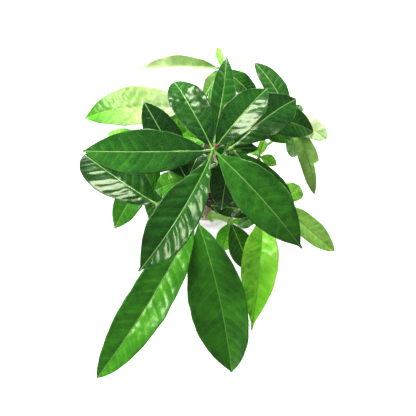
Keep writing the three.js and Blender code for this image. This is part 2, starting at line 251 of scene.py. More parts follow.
def shoot_material():
    """Green skin, streaked, with corky patches and pale dots. scar holds 1 on the rings of leaf scars."""
    low, high, cork = (0.10, 0.22, 0.035), (0.25, 0.42, 0.09), (0.30, 0.24, 0.11)
    dot, brown = (0.45, 0.50, 0.25), (0.22, 0.15, 0.07)
    g = Graph("green shoot")
    spot = g.spot()
    x, y, z = g.split(spot)
    streak = g.noise(g.join(x, y, g.math("MULTIPLY", z, 0.12)), 0.6, 4.0, 0.6)
    patch = g.noise(spot, 0.09, 3.0, 0.6)
    from_dot = g.cells(spot, 0.6)
    is_scar = g.split(g.vector("scar"))[0]
    colour = g.mix(g.step(streak, 0.3, 0.7), low, high)
    colour = g.mix(g.step(patch, 0.5, 0.72, 0.0, 0.55), colour, cork)
    colour = g.mix(g.step(from_dot, 0.0, 0.2, 0.5, 0.0), colour, dot)
    colour = g.mix(is_scar, colour, brown)
    return g.finish(colour, g.step(streak, 0.2, 0.8, 0.42, 0.6), g.bump(streak, 0.5, 0.4))


def glaze_material():
    """Pale glaze with a few iron specks, bare clay at the foot."""
    darker, lighter = (0.40, 0.396, 0.382), (0.46, 0.457, 0.443)
    speck, clay = (0.40, 0.35, 0.29), (0.46, 0.36, 0.27)
    glaze_ends = (3.6, 4.4)  # height above the foot
    g = Graph("white glaze")
    spot = g.spot()
    z = g.split(spot)[2]
    cloud = g.noise(spot, 0.02, 3.0, 0.55)
    from_speck = g.cells(spot, 0.22)
    colour = g.mix(g.step(cloud, 0.3, 0.7), darker, lighter)
    colour = g.mix(g.step(from_speck, 0.03, 0.09, 0.45, 0.0), colour, speck)
    colour = g.mix(g.step(z, *glaze_ends, 0.9, 0.0), colour, clay)
    rough = g.math("MAXIMUM", g.step(cloud, 0.2, 0.8, 0.13, 0.24), g.step(z, *glaze_ends, 0.8, 0.0))
    relief = g.math("MULTIPLY_ADD", from_speck, 0.02, g.noise(spot, 0.05))
    return g.finish(colour, rough, g.bump(relief, 0.25, 0.6), Coat_Weight=0.4, Coat_Roughness=0.06)


def soil_material():
    """Crumbly potting mix. crumb holds 1 on white grit, and how much paler a crumb is."""
    dark, light = (0.012, 0.008, 0.005), (0.070, 0.046, 0.030)
    dry, grit = (0.16, 0.10, 0.06), (0.66, 0.64, 0.58)
    g = Graph("potting soil")
    spot = g.spot()
    is_grit, paler, _ = g.split(g.vector("crumb"))
    grain = g.noise(spot, 0.55, 6.0, 0.7)
    fibre = g.cells(spot, 0.8)
    colour = g.mix(g.step(grain, 0.3, 0.7), dark, light)
    colour = g.tint(colour, paler, 0.5, dry)
    colour = g.mix(g.step(is_grit, 0.4, 0.6), colour, grit)
    relief = g.math("MULTIPLY_ADD", fibre, 0.4, grain)
    return g.finish(colour, g.step(grain, 0.2, 0.8, 0.85, 0.97), g.bump(relief, 0.9, 0.8))


def floor_material():
    """Pale floor that glows a little under the plant and is greyer far from it, distances in metres."""
    near, far = 0.6, 2.6
    g = Graph("pale floor")
    spot = g.node("TexCoord").outputs["Object"]
    x, y, _ = g.split(spot)
    distance = g.math("SQRT", g.math("ADD", g.math("MULTIPLY", x, x), g.math("MULTIPLY", y, y)))
    away = g.step(distance, near, far)
    colour = g.mix(g.noise(spot, 6.0, 3.0), (0.93, 0.93, 0.93), (0.96, 0.96, 0.96))
    colour = g.mix(away, colour, (0.45, 0.45, 0.45))
    glow = g.mix(away, (0.5, 0.5, 0.5), (0.02, 0.02, 0.02))
    return g.finish(colour, 0.9, Emission_Color=glow, Emission_Strength=1.0)


# Meshes.

def smooth_object(name, points, faces, material):
    """A smooth-shaded object in the scene, from points in metres."""
    mesh = bpy.data.meshes.new(name)
    mesh.from_pydata(points.tolist(), [], faces)
    mesh.polygons.foreach_set("use_smooth", [True] * len(mesh.polygons))
    mesh.materials.append(material)
    made = bpy.data.objects.new(name, mesh)
    bpy.context.scene.collection.objects.link(made)
    return made


class Shape:
    """Vertices and faces gathered before they become one piece, with named vectors at each vertex."""

    def __init__(self, **usual):
        """usual holds the vectors' names, each with its value where add isn't given one."""
        self.points, self.faces, self.count = [], [], 0
        self.usual = usual
        self.vectors = {key: [] for key in usual}

    def add(self, points, faces, **given):
        points = np.asarray(points, float).reshape(-1, 3)
        total = len(points)
        self.points.append(points)
        self.faces.extend((np.asarray(face) + self.count).tolist() for face in faces)
        for key, usual in self.usual.items():
            self.vectors[key].append(np.broadcast_to(np.asarray(given.get(key, usual), float), (total, 3)))
        self.count += total

    def piece(self, node, material):
        """The finer form of a node."""
        made = smooth_object(node + "_fine", np.concatenate(self.points) * MM, self.faces, material)
        for key, values in self.vectors.items():
            layer = made.data.attributes.new(key, "FLOAT_VECTOR", "POINT")
            layer.data.foreach_set("vector", np.concatenate(values).astype(np.float32).ravel())
        made.data.update()
        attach(made, "root")
        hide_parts(node)


def unit(vectors):
    return vectors / np.linalg.norm(vectors, axis=-1, keepdims=True)


def together(*values):
    """Numbers and arrays joined into vectors, one for each place in the largest array."""
    return np.stack(np.broadcast_arrays(*values), axis=-1)


def bell(x, middle, width):
    return np.exp(-(((x - middle) / width) ** 2))


def rotated(vectors, axes, angle):
    """Vectors turned about unit axes by an angle in radians."""
    cos, sin = math.cos(angle), math.sin(angle)
    along = np.sum(vectors * axes, axis=1, keepdims=True)
    return vectors * cos + np.cross(axes, vectors) * sin + axes * along * (1 - cos)


def distances(path):
    """The distance of each point from the path's start, measured along it."""
    return np.concatenate([[0], np.cumsum(np.linalg.norm(np.diff(path, axis=0), axis=1))])


def turns(sides):
    return np.linspace(0, 2 * np.pi, sides, endpoint=False)


def level_ring(r, z, sides):
    """A level ring of vertices. r is one radius, or one for each side."""
    turn = turns(sides)
    return together(r * np.cos(turn), r * np.sin(turn), z)


def grid_faces(rows, columns, closed, start=0, flip=False):
    """Quads of a grid of vertices; closed joins the last column to the first."""
    faces = []
    across = columns if closed else columns - 1
    for r in range(rows - 1):
        for c in range(across):
            a, b = start + r * columns + c, start + r * columns + (c + 1) % columns
            quad = (a, b, b + columns, a + columns)
            faces.append(quad[::-1] if flip else quad)
    return faces


def closed_body(rings, foot, head):
    """A skin over rings of vertices, closed by fans round a point at either end."""
    count, sides = len(rings), len(rings[0])
    points = np.concatenate([*rings, [foot], [head]])
    faces = grid_faces(count, sides, True)
    last_ring, centre = (count - 1) * sides, count * sides
    for i in range(sides):
        j = (i + 1) % sides
        faces.append((centre, j, i))
        faces.append((centre + 1, last_ring + i, last_ring + j))
    return points, faces


def tube(path, radii, sides, tangents=None):
    """Closed tube round a path. radii has one number a ring, or one a ring and side. tangents has the way
    that each ring faces, where the path doesn't give it."""
    if np.ndim(radii) == 1:
        radii = np.repeat(radii[:, None], sides, axis=1)
    if tangents is None:
        tangents = unit(np.gradient(path, axis=0))
    normal = unit(np.cross(tangents[0], (0.31, 0.9, 0.17)))
    cos, sin = np.cos(turns(sides))[:, None], np.sin(turns(sides))[:, None]
    rings = []
    for centre, tangent, radius in zip(path, tangents, radii):
        normal = unit(normal - tangent * np.dot(normal, tangent))
        other = np.cross(tangent, normal)
        rings.append(centre + radius[:, None] * (cos * normal + sin * other))
    return closed_body(rings, path[0], path[-1])


def per_ring(values, sides):
    """One row a vertex of a closed body, from one row a ring."""
    return np.concatenate([np.repeat(values, sides, axis=0), values[:1], values[-1:]])


def lump(centre, radii, seed, detail=2, rough=0.12):
    """Uneven closed lump."""
    made = bmesh.new()
    bmesh.ops.create_icosphere(made, subdivisions=detail, radius=1.0)
    points = np.array([v.co[:] for v in made.verts])
    faces = [[v.index for v in face.verts] for face in made.faces]
    made.free()
    swell = [1 + rough * noise.noise(Vector(p * 1.7 + seed * 3.7)) * 2 for p in points]
    return points * np.array(swell)[:, None] * np.array(radii) + np.array(centre), faces


def bowed(start, bow, end, count):
    """Points on a curve that leaves start towards bow and comes to end from there."""
    t = np.linspace(0, 1, count)[:, None]
    return (1 - t) ** 2 * np.array(start) + 2 * t * (1 - t) * np.array(bow) + t**2 * np.array(end)


def sampled(wanted, known, vectors):
    """Vectors that stand at the known places, read at the wanted ones."""
    return np.stack([np.interp(wanted, known, vectors[:, k]) for k in range(3)], axis=1)


def smooth_curve(controls, count):
    """Even points on a centripetal Catmull-Rom curve through the controls."""
    controls = np.asarray(controls, float)
    padded = np.vstack([2 * controls[0] - controls[1], controls, 2 * controls[-1] - controls[-2]])
    fine = []
    for p0, p1, p2, p3 in zip(padded, padded[1:], padded[2:], padded[3:]):
        spans = (p1 - p0, p2 - p1, p3 - p2)
        d0, d1, d2 = (max(math.sqrt(np.linalg.norm(span)), 1e-4) for span in spans)
        m1 = ((p1 - p0) / d0 - (p2 - p0) / (d0 + d1) + (p2 - p1) / d1) * d1
        m2 = ((p2 - p1) / d1 - (p3 - p1) / (d1 + d2) + (p3 - p2) / d2) * d1
        square = -3 * p1 + 3 * p2 - 2 * m1 - m2
        cube = 2 * p1 - 2 * p2 + m1 + m2
        for t in np.linspace(0, 1, 24, endpoint=False):
            fine.append(p1 + m1 * t + square * t**2 + cube * t**3)
    fine.append(controls[-1])
    fine = np.array(fine)
    length = distances(fine)
    return sampled(np.linspace(0, length[-1], count), length, fine)


# Leaflets.

STALK_SHARE = 0.04  # of a leaflet's length, before its blade begins
ROW_LENGTH = 1.7
BLADE_COLUMNS = 31
BLADE_THICKNESS = 0.5
VEIN_SLANT, VEIN_CURVE = 0.38, 0.014
VEIN_JITTER, JITTER_SIZE = 3.4, 24
RAGGED_SHARE, RAGGED_SIZE = 0.05, 16  # of a margin's distance from the rib
MARGIN_WAVES = 3.0
BROAD_LIFT, BROAD_SIZE = 0.9, 24  # the blade's slow swells
CRINKLE_SIZE = 5.5
GROOVE_DEPTH, GROOVE_WIDTH = 0.35, 1.1  # over the rib
TORN_SHARE = 0.42  # of the half-width that is left past a tear
LOT = 900.0  # distance that keeps two leaflets' textures apart

# What a leaflet has where its row doesn't say. Its tip has the same tone, paleness and crinkle as its foot,
# unless its row gives these again with tip_ in front. Paleness is real bleaching on some leaflets and painted
# glare on others.
USUAL_LEAFLET = dict(
    bend=0,  # turn to the left from foot to tip
    roll=0,  # turn about its own length, left side up
    fold=12,  # slope of each half, up from the rib
    peak=0.5,  # where it is widest, as a share of its length
    point=1,  # low for a blunt tip, high for a drawn-out one
    tone=0.3,  # its place among the leaf colours
    lean=0.0,  # painted light: how much lighter the tone of its left half is than its rib, and its right half darker
    bleach=0.0,  # paleness, real bleaching on some leaflets and painted glare on others: 1 where no green is left
    pale_lean=0.0,  # as lean, for bleach
    quilt=0.4,  # height of the panels between its side veins
    wave=1.0,  # height of the waves along its margins
    crinkle=0.3,  # height of its smallest unevenness
    drip=1.0,  # length of its thin tip
    torn=None,  # share of its length past which the left half has lost its outer part
)

# What leaf_material reads from a vertex, where nothing else is said: a stalk's.
LEAF_VECTORS = dict(place=(0.0, 0.0, 1.0), look=(0.0, 0.0, 0.0), course=(0.0, 9.0, 1.0))


def leaflet_from(row, shared):
    toward, length, width, rise, fall, more = row
    given = {**USUAL_LEAFLET, **shared, **more}
    for key in ("tone", "bleach", "crinkle"):
        given.setdefault("tip_" + key, given[key])
    return SimpleNamespace(toward=toward, length=length, width=width, rise=rise, fall=fall, **given)


def outline(s, peak, point):
    """Half-width of a leaflet, from foot to tip, as a share of its widest."""
    t = np.clip((s - STALK_SHARE) / (1 - STALK_SHARE), 0, 1)
    foot = point * peak / (1 - peak)
    return t**foot * (1 - t) ** point / (peak**foot * (1 - peak) ** point)


def last_twice(rows):
    return np.vstack([rows, rows[-1]])


class Midline:
    """A leaflet's middle from its hub to a little past its tip, with its left and its upper side along it."""

    def __init__(self, leaflet, hub, steps=100):
        s = np.arange(steps + 1) / steps
        pitch = np.radians(leaflet.rise + (leaflet.fall - leaflet.rise) * s)
        heading = np.radians(leaflet.toward + leaflet.bend * s)
        level = np.cos(pitch)
        ahead = together(level * np.cos(heading), level * np.sin(heading), np.sin(pitch))
        left = together(-np.sin(heading), np.cos(heading), 0.0)
        roll = math.radians(leaflet.roll)
        moves = np.cumsum(ahead[:-1], axis=0) * leaflet.length / steps
        path = np.array(hub, float) + np.vstack([[0, 0, 0], moves])
        past = 0.1  # share of the length that it goes on past the tip
        self.at = np.append(s, 1 + past)
        self.path = np.vstack([path, path[-1] + past * leaflet.length * ahead[-1]])
        self.left = last_twice(rotated(left, ahead, roll))
        self.over = last_twice(rotated(np.cross(ahead, left), ahead, roll))

    def read(self, s):
        """The middle, the left and the upper side at shares s of the length."""
        return [sampled(s, self.at, vectors) for vectors in (self.path, self.left, self.over)]


def uneven(at, seed):
    return noise.noise(Vector((at, seed, 0.37 * seed)))


def uneven_sides(at, hand, seed, apart):
    """Noise along a blade, with a run of its own for each side and for the rib."""
    runs = np.array([[uneven(a, seed + apart * k) for k in (-1, 0, 1)] for a in at])
    return runs[:, (hand + 1).astype(int)]


def uneven_grid(along, across, size, seed):
    """Noise over a blade, of about the given size."""
    points = zip((along / size).ravel(), (across / size).ravel())
    return np.array([noise.noise(Vector((u, v, 1.7 * seed))) for u, v in points]).reshape(along.shape)


class Blade:
    """A leaflet's blade as a grid, with rows from foot to tip and columns from right margin to left."""

    def __init__(self, leaflet, index):
        self.leaflet, self.index = leaflet, index
        length = leaflet.length
        self.rows = int(min(max(length / ROW_LENGTH, 36), 120))
        end = 1 + leaflet.drip / length
        s = np.linspace(STALK_SHARE, end, self.rows)
        share = np.linspace(-1, 1, BLADE_COLUMNS)
        share = np.sign(share) * np.abs(share) ** 1.15
        hand = np.sign(share)
        self.s, self.hand, self.reach = s[:, None], hand[None, :], np.abs(share)[None, :]

        drip_half = 0.02 * leaflet.width + 1.2 * np.clip((end - s) / (end - 0.96), 0, 1)
        half = leaflet.width / 2 * outline(s, leaflet.peak, leaflet.point)
        self.half = np.maximum(half, np.where(s > 0.9, drip_half, 0.3))[:, None]
        ragged = uneven_sides(s * length / RAGGED_SIZE, hand, 3.1 * index, 50)
        across = self.half * share[None, :] * (1 + RAGGED_SHARE * ragged * self.reach**2)
        if leaflet.torn is not None:
            is_torn = (self.s > leaflet.torn) & (self.hand > 0)
            across = np.where(is_torn, TORN_SHARE * across, across)
        self.across = across
        self.along = np.broadcast_to(self.s * length, across.shape)

        # Counts the side veins from the foot: one lies at each whole number, staggered left and right.
        spread = np.abs(across)
        slanted = self.along - VEIN_SLANT * spread - VEIN_CURVE * spread**2
        jitter = uneven_sides(s * length / JITTER_SIZE, hand, 5.3 * index, 70)
        self.spread = spread
        self.spacing = min(max(length / 11, 5.0), 13.5)
        self.count = (slanted + VEIN_JITTER * jitter) / self.spacing + self.hand / 4

    def lift(self):
        """How far the blade stands above its midline."""
        leaflet, index, s, reach = self.leaflet, self.index, self.s, self.reach
        taper = np.sin(np.pi * np.clip(s, 0, 1) ** 0.8)
        fold = self.half * math.sin(math.radians(leaflet.fold)) * reach**1.35

        through = np.mod(self.count, 1) - 0.5
        panel = np.floor(self.count) + 7 * self.hand
        swell = 0.3 + 0.7 * np.abs(np.sin(1.9 * panel + index))
        slant = 0.9 * np.sin(4.7 * panel + 2 * index) * through
        flat = (1 - np.abs(2 * through) ** 4) * np.clip(self.spread / 5, 0, 1) * (1 - reach**4)
        quilt = 1.5 * leaflet.quilt * (flat * np.minimum(1, 2 * taper)) * (swell + slant)

        outer = np.clip((s - 0.35) / 0.5, 0, 1)
        rough = leaflet.crinkle + (leaflet.tip_crinkle - leaflet.crinkle) * outer
        broad = BROAD_LIFT * uneven_grid(self.along, self.across, BROAD_SIZE, index)
        crinkles = taper * (broad + rough * uneven_grid(self.along, self.across, CRINKLE_SIZE, index))
        swing = np.sin(2 * np.pi * MARGIN_WAVES * s + 2.1 * index + 1.7 * self.hand)
        waves = leaflet.wave * reach**2.5 * taper * swing
        groove = GROOVE_DEPTH * bell(self.spread, 0, GROOVE_WIDTH)
        return fold + quilt + crinkles + waves - groove

    def points(self, midline):
        """Vertices of the upper face, then of the under face."""
        middle, left, over = midline.read(self.s[:, 0])
        left, over = unit(left)[:, None], unit(over)[:, None]
        level = math.cos(math.radians(self.leaflet.fold))
        top = middle[:, None] + self.across[..., None] * level * left + self.lift()[..., None] * over
        thick = BLADE_THICKNESS * (1 - 0.4 * self.reach**3)
        low = top - thick[..., None] * over
        return np.concatenate([top.reshape(-1, 3), low.reshape(-1, 3)])

    def faces(self):
        """Upper face, under face, the two margins and the two ends."""
        rows, columns = self.rows, BLADE_COLUMNS
        under = rows * columns
        faces = grid_faces(rows, columns, False, flip=True)
        faces += grid_faces(rows, columns, False, start=under)
        for r in range(rows - 1):
            a, b = r * columns, (r + 1) * columns
            faces.append((a, a + under, b + under, b))
            a, b = a + columns - 1, b + columns - 1
            faces.append((b, b + under, a + under, a))
        for c in range(columns - 1):
            faces.append((c, c + 1, c + 1 + under, c + under))
            a = (rows - 1) * columns + c
            faces.append((a + 1, a, a + under, a + 1 + under))
        return faces

    def vectors(self):
        """What leaf_material reads, for both faces."""
        leaflet = self.leaflet
        to_left = np.clip(self.across / 3, -1, 1)
        # painted light: the left-right tone shift makes one half lighter and the other darker, as if lit from
        # one side
        tone = leaflet.tone + (leaflet.tip_tone - leaflet.tone) * self.s + leaflet.lean * to_left
        bleach = leaflet.bleach + (leaflet.tip_bleach - leaflet.bleach) * self.s + leaflet.pale_lean * to_left
        place = together(self.along + LOT * self.index, self.across, self.half)
        course = together(self.count + 40 * self.index, self.spacing, 0.0)
        upper = {"place": place, "look": together(tone, bleach, 0.0), "course": course}
        under = {**upper, "look": together(tone, bleach, 1.0)}
        return {key: np.concatenate([upper[key], under[key]]).reshape(-1, 3) for key in upper}


def add_rib(shape, leaflet, index, midline):
    """The leaflet's own stalk, which goes on under the blade as its rib."""
    sides = 10
    t = np.linspace(0.0, 0.96, 46)
    size = (0.35 + 1.15 * np.exp(-t / 0.35)) * min(1.0, 0.45 + leaflet.length / 220)
    sink = np.where(t < STALK_SHARE, 0.0, np.minimum(1, (t - STALK_SHARE) / 0.05)) * (size + 0.15)
    middle, _, over = midline.read(t)
    points, faces = tube(middle - over * sink[:, None], size, sides)
    place = together(t * leaflet.length + LOT * index, 0.0, 3.0)
    look = np.broadcast_to((leaflet.tone, leaflet.bleach, 0.0), (len(t), 3))
    shape.add(points, faces, place=per_ring(place, sides), look=per_ring(look, sides))


def add_leaflet(shape, leaflet, index, hub):
    midline = Midline(leaflet, hub)
    blade = Blade(leaflet, index)
    shape.add(blade.points(midline), blade.faces(), **blade.vectors())
    add_rib(shape, leaflet, index, midline)


# Leaves.

STALK_LOOK = (0.5, 0.0, 0.0)


def add_stalk(shape, index, start, bow, hub, radius):
    """The long stalk of a leaf, thicker where it starts and at its hub."""
    count, sides = 44, 14
    t = np.linspace(0, 1, count)
    swell = 0.55 * bell(t, 1, 0.05) + 0.5 * bell(t, 0, 0.05)
    size = radius * (1.2 - 0.35 * t) * (1 + swell)
    points, faces = tube(bowed(start, bow, hub, count), size, sides)
    length = np.linalg.norm(np.array(hub) - np.array(start))
    place = together(t * length + LOT / 2 + LOT * index, 0.0, 2.0)
    shape.add(points, faces, place=per_ring(place, sides), look=STALK_LOOK)


# Each leaf: where its stalk starts and bows, its hub, its slot, what its leaflets share, and the leaflets,
# each as direction, length, width, slope at its foot and at its tip, and what isn't as usual.
LEAVES = {
    "leaf_top": ([3, -42, 338], [6, -52, 380], [7, -64, 430], "leaf_deep", dict(tone=0.22), [
        # painted light: tone rises from foot to tip, the tip lighter as more light reaches it than near the
        # hub
        (-174.8, 141, 50, 8, -14,
         dict(bend=-12, roll=-7, fold=6, tone=0.07, tip_tone=0.4, quilt=0.2)),
        # painted highlight: its tone rises towards the tip, brightening the sheen there
        (116.4, 101, 42, 14, -34,
         dict(peak=0.54, point=0.75, roll=6, quilt=0.3, tone=0.0, tip_tone=0.28, tip_crinkle=1.4)),
        (52, 99, 42, 14, -28,
         dict(peak=0.52, point=0.9, roll=-6, tone=0.02, tip_tone=0.2, quilt=0.2, tip_crinkle=0.6, drip=2)),
        (-43.7, 143, 53, 2, -34,
         dict(bend=-4, point=1.05, roll=4, quilt=0.5, tone=0.39, drip=3)),
        (-111, 155, 53, 4, -36,
         dict(bend=-25, peak=0.55, point=1.05, quilt=1.2, tone=0.3, tip_tone=0.1, roll=8, fold=16, drip=3)),
    ]),
    "leaf_under_top": ([30, -27, 327], [32, -38, 365], [27, -50, 395], "leaf_deep", dict(tone=0.25), [
        (46, 115, 50, 2, -36, dict(bend=-6, roll=6, tone=0.12)),
        (-42, 126, 41, -8, -42, dict(bend=-14, tone=0.35)),
        (9, 34, 14, -10, -30, {}),
        # painted shade: this leaflet's dark tone fills the shadowed hollow under the crown
        (-100, 78, 36, -25, -60, dict(tone=0.06)),
    ]),
    "leaf_back_upper": ([4, -38, 322], [12, -32, 350], [9, -39, 386], "leaf", dict(tone=0.45), [
        (79, 132, 31, 6, -38, dict(bend=8, fold=6, roll=22, peak=0.4, point=1.15, tone=0.3, drip=3)),
        (162, 46, 18, -5, -35, dict(tone=0.75)),
        (28, 48, 22, -10, -45, dict(tone=0.3)),
    ]),
    "leaf_right_upper": ([30, -25, 321], [34, -8, 335], [45, -2, 355], "leaf", dict(tone=0.15), [
        (11, 95, 42, 2, -44, dict(bend=-24, point=0.9, tone=0.22, drip=0)),
        (-11, 72, 26, -14, -50, dict(tone=0.6)),
        (95, 50, 24, -10, -60, {}),
    ]),
    "leaf_far_right": ([29, -26, 312], [72, -34, 322], [103, 12, 320], "leaf_pale", dict(tone=0.4), [
        (108, 90, 28, 14, -10, dict(bend=22, point=0.8, tone=0.3)),
        (-13.8, 49.5, 30, 6, -14, dict(bend=-25, peak=0.4, point=0.5, tone=1.0, bleach=1.0, quilt=0.9)),
        (-59, 97, 25, 4, -36, dict(bend=-24, point=0.7, tone=0.8, bleach=0.35, torn=0.6)),
        (-75, 58, 22, -30, -80, dict(tone=0.55, bleach=0.15)),
        (60, 34, 14, 0, -40, {}),
    ]),
    "leaf_far_back": ([-30, -3, 305], [0, 50, 318], [19, 84, 320], "leaf_pale", dict(tone=0.5), [
        # painted glare: this leaflet's paleness, white at its tip, paints light shining through it
        (174, 114, 28, 2, -34, dict(fold=32, roll=10, bleach=0.42, tip_bleach=1.0, pale_lean=0.26)),
        (98, 36, 10, 0, -30, dict(tone=0.9, bleach=0.1)),
        (-37, 64, 27, 0, -50, dict(tone=0.35)),
        (-124, 44, 20, 0, -50, dict(tone=0.6, bleach=0.3)),
    ]),
    "leaf_far_left": ([-31, 1, 319], [-32, 6, 338], [-26, 16, 350], "leaf_bright", dict(tone=0.7), [
        # painted glare: this leaflet's paleness near its foot paints light shining through it; its tip stays
        # green
        (172, 136, 52, 4, -40,
         dict(bend=12, peak=0.42, point=0.9, bleach=0.9, tip_bleach=-0.1, quilt=0.8, crinkle=1.4,
              tip_crinkle=0.4)),
        (-150, 60, 33, -30, -70, dict(tone=0.8)),
        (-86, 40, 24, -10, -50, {}),
        (62, 40, 22, -10, -50, {}),
    ]),
    # painted shade: the shared tone below zero darkens the leaflets that keep it, which lie in shadow
    "leaf_left_upper": ([4, -37, 308], [-12, -58, 338], [-22, -80, 372], "leaf_deep", dict(tone=-0.15), [
        (120, 102, 40, 30, 0, dict(point=0.8, fold=8)),
        (73, 64, 28, -20, -55, {}),
        (-174, 46, 30, -15, -50, dict(tone=0.65)),
        (-85, 44, 20, -30, -70, {}),
    ]),
    "leaf_left_low": ([-29, -5, 295], [-42, -24, 312], [-60, -36, 315], "leaf_bright", dict(tone=0.5), [
        (-127, 108, 38, -6, -50, {}),
        (145, 88, 32, 0, -40, dict(tone=0.8, bleach=0.12)),
        (-100, 90, 24, -25, -65, {}),
    ]),
    "leaf_left_front": ([5, -36, 298], [-34, -74, 340], [-55, -107, 365], "leaf", dict(tone=0.4), [
        (148.1, 128, 57, 4, -40, dict(bend=-14, point=0.75, roll=8, quilt=0.75, tone=0.02)),
        (-84, 62, 26, -30, -60, {}),
        (-122, 26, 15, -30, -60, {}),
    ]),
    "leaf_front_long": ([3, -41, 332], [-4, -80, 352], [-12, -116, 345], "leaf", dict(tone=0.45), [
        (-70.8, 192, 73, 0, -40, dict(bend=-12, peak=0.52, point=0.9, fold=22, roll=18)),
        # painted light: its left-right tone shift lightens its left half, which the light falls on, and
        # darkens its right
        (-115, 223, 52, 2, -30, dict(bend=-16, point=0.75, quilt=0.6, tone=0.52, lean=0.1)),
        (170, 60, 24, -30, -70, {}),
    ]),
    "leaf_right_front": ([28, -26, 303], [48, -66, 325], [68, -103, 310], "leaf_bright", dict(tone=0.4), [
        # painted light: its left-right tone shift lightens its left half, which the light falls on, and
        # darkens its right
        (-94.4, 139, 48, 14, -20,
         dict(peak=0.44, point=1.25, bend=-4, fold=26, quilt=1.0, tone=1.0, lean=0.06, drip=3)),
        (165, 70, 28, 0, -40, dict(tone=0.05)),
        (-165, 44, 18, -30, -60, {}),
        (-30, 45, 22, -30, -60, {}),
    ]),
    "leaf_right_low": ([26, -27, 294], [60, -62, 308], [93, -84, 290], "leaf_pale", dict(tone=0.3), [
        (-47.5, 90, 30, 4, -28, dict(bend=14, point=0.8, quilt=0.5, tone=0.9, bleach=0.25)),
        (47, 39, 28, 0, -40, dict(tone=0.9)),
        (140, 50, 24, -20, -60, {}),
    ]),
    "leaf_inner_front": ([4.5, -41.5, 316], [13, -44, 336], [14, -54, 350], "leaf", dict(tone=0.3), [
        (-108, 28, 22, -5, -45, dict(tone=0.35, drip=0)),
        (-49, 56, 30, -5, -45, {}),
        (12, 44, 30, 0, -40, dict(peak=0.62)),
        (70, 30, 18, 0, -30, {}),
    ]),
    "leaf_inner_back": ([-29.5, -1, 314], [-8, 12, 330], [11, 7, 338], "leaf_bright", dict(tone=0.4), [
        (82, 62, 30, 0, -40, {}),
        (30, 48, 26, 0, -40, {}),
        (133, 39, 22, 0, -40, dict(tone=0.6)),
        (-30, 37, 20, -10, -50, {}),
        (-64, 34.5, 24, 10, -25, dict(tone=0.1, point=0.55, drip=0)),
        (-117, 37, 18, 10, -22, dict(tone=0.15)),
        (-95, 38, 32, 10, -22, dict(tone=0.2)),
    ]),
    "young_leaf_right": (
        [32, -25, 335], [53, -30, 350], [60, -51, 372], "leaf_young", dict(tone=1.0, wave=0.4), [
        (137, 18, 9, 0, -30, {}),
        (-18, 25, 14, 0, -50, {}),
        (72, 24, 11, 10, -30, {}),
        (-100, 16, 9, 0, -40, {}),
    ]),
    "young_shoot_front": (
        [7, -79, 205], [19, -82, 215.5], [31, -91, 225], "leaf_young", dict(tone=0.4, wave=0.6), [
        (-66, 76, 36, -5, -45, dict(tone=0.2)),
        (-104, 44, 28, -20, -50, dict(tone=0.75)),
        (-1, 28, 13, -10, -40, dict(tone=0.8)),
    ]),
}
STALKS = {"young_leaf_right": (1.2, 2.2), "young_shoot_front": (4.6, 4.9)}  # stalk and hub radius
USUAL_STALK = (1.9, 3.0)

# For each slot: the colours of veins, undersides and stalks, the roughness, and how much side veins show.
LEAF_FINISHES = {
    "leaf_deep": leaf_material(
        "deep leaf", (0.28, 0.62, 0.18), (0.12, 0.26, 0.06), (0.27, 0.57, 0.11), 0.2, 0.05),
    "leaf": leaf_material(
        "leaf", (0.24, 0.58, 0.10), (0.14, 0.32, 0.07), (0.26, 0.55, 0.11), 0.2, 0.09),
    "leaf_bright": leaf_material(
        "bright leaf", (0.38, 0.74, 0.14), (0.20, 0.42, 0.08), (0.28, 0.57, 0.10), 0.23, 0.12),
    "leaf_pale": leaf_material(
        "pale leaf", (0.46, 0.74, 0.28), (0.24, 0.42, 0.14), (0.26, 0.50, 0.12), 0.27, 0.16),
    "leaf_young": leaf_material(
        "young leaf", (0.50, 0.82, 0.18), (0.30, 0.54, 0.08), (0.36, 0.66, 0.16), 0.27, 0.14),
}


def make_leaf(order, name):
    start, bow, hub, slot, shared, rows = LEAVES[name]
    stalk, knob = STALKS.get(name, USUAL_STALK)
    first = order * 6  # the first of the leaf's seeds
    shape = Shape(**LEAF_VECTORS)
    add_stalk(shape, first + 5, start, bow, hub, stalk)
    points, faces = lump(hub, (knob, knob, knob * 0.8), order + 1, 3)
    shape.add(points, faces, place=points, look=STALK_LOOK)
    for k, row in enumerate(rows):
        add_leaflet(shape, leaflet_from(row, shared), first + k, hub)
    if name == "leaf_top":  # a dry scale beside the hub
        points, faces = lump(np.array(hub) + (3.2, 4.2, 3.4), (3.0, 1.6, 0.8), 5, 2, 0.5)
        shape.add(points, faces, place=points, course=(0.0, 9.0, 2.0))
    shape.piece(name, LEAF_FINISHES[slot])


for order, name in enumerate(LEAVES):
    make_leaf(order, name)


# Trunk.

SOIL_LEVEL = 98.0  # where the soil meets the pot's wall
SOIL_CROWN = 4.0  # how much higher it stands round the stems
STEM_TOP = 292.0
STEM_BURIED = 40.0
STEM_RADIUS = 8.0
STEM_RINGS = 150
BRAID_HALF_WIDTH, BRAID_HALF_DEPTH = 20, 10
BRAID_TURNS = 0.9
BRAID_TOP_PHASE = -6  # of the first stem at its cut top
TRUNK_LEAN = (-3, -24)

FURROW_SHARE, SWELL_SHARE = 0.045, 0.06  # of a stem's radius
SCAR_HEIGHT, SCAR_WIDTH = 0.7, 2.2
SCAR_GROOVE_UP, SCAR_GROOVE_DEPTH, SCAR_GROOVE_WIDTH = 3.0, 0.35, 1.2

# The rings of a sawn end: share of the radius, and height above the bark's last ring.
SAWN_END = [(0.90, 0.25), (0.72, 0.3), (0.5, 0.2), (0.25, 0.25)]

# The side branch's route out of the first stem, and its radius.
STUB_ROUTE = [[10, -19, 176], [-14, -54, 187], [5, -78, 204]]
STUB_RADIUS = 7.5
STUB_RINGS = 44


